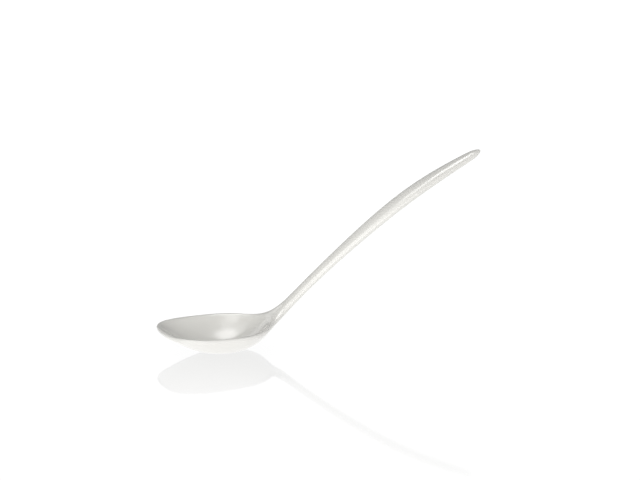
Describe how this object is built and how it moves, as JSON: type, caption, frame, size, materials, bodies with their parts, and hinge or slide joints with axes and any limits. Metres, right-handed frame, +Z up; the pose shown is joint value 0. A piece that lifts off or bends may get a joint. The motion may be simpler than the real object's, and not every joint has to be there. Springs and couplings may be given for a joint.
{
  "type": "serving spoon",
  "caption": "One-piece moulded serving spoon in glossy warm white: a shallow egg-shaped bowl with a rounded lip, a slim neck and an arched oval handle that is broadest at the grip.",
  "frame": {"origin": "centre of the small flat under the bowl that the spoon stands on", "axes": "+X along the spoon from the bowl toward the end of the handle, +Y across it, +Z up out of the bowl"},
  "size_m": [0.2705, 0.0706, 0.1363],
  "materials": {
    "white_melamine": "glossy moulded melamine, warm white"
  },
  "bodies": {
    "root": {"bowl": "white_melamine", "handle": "white_melamine"}
  },
  "joints": []
}
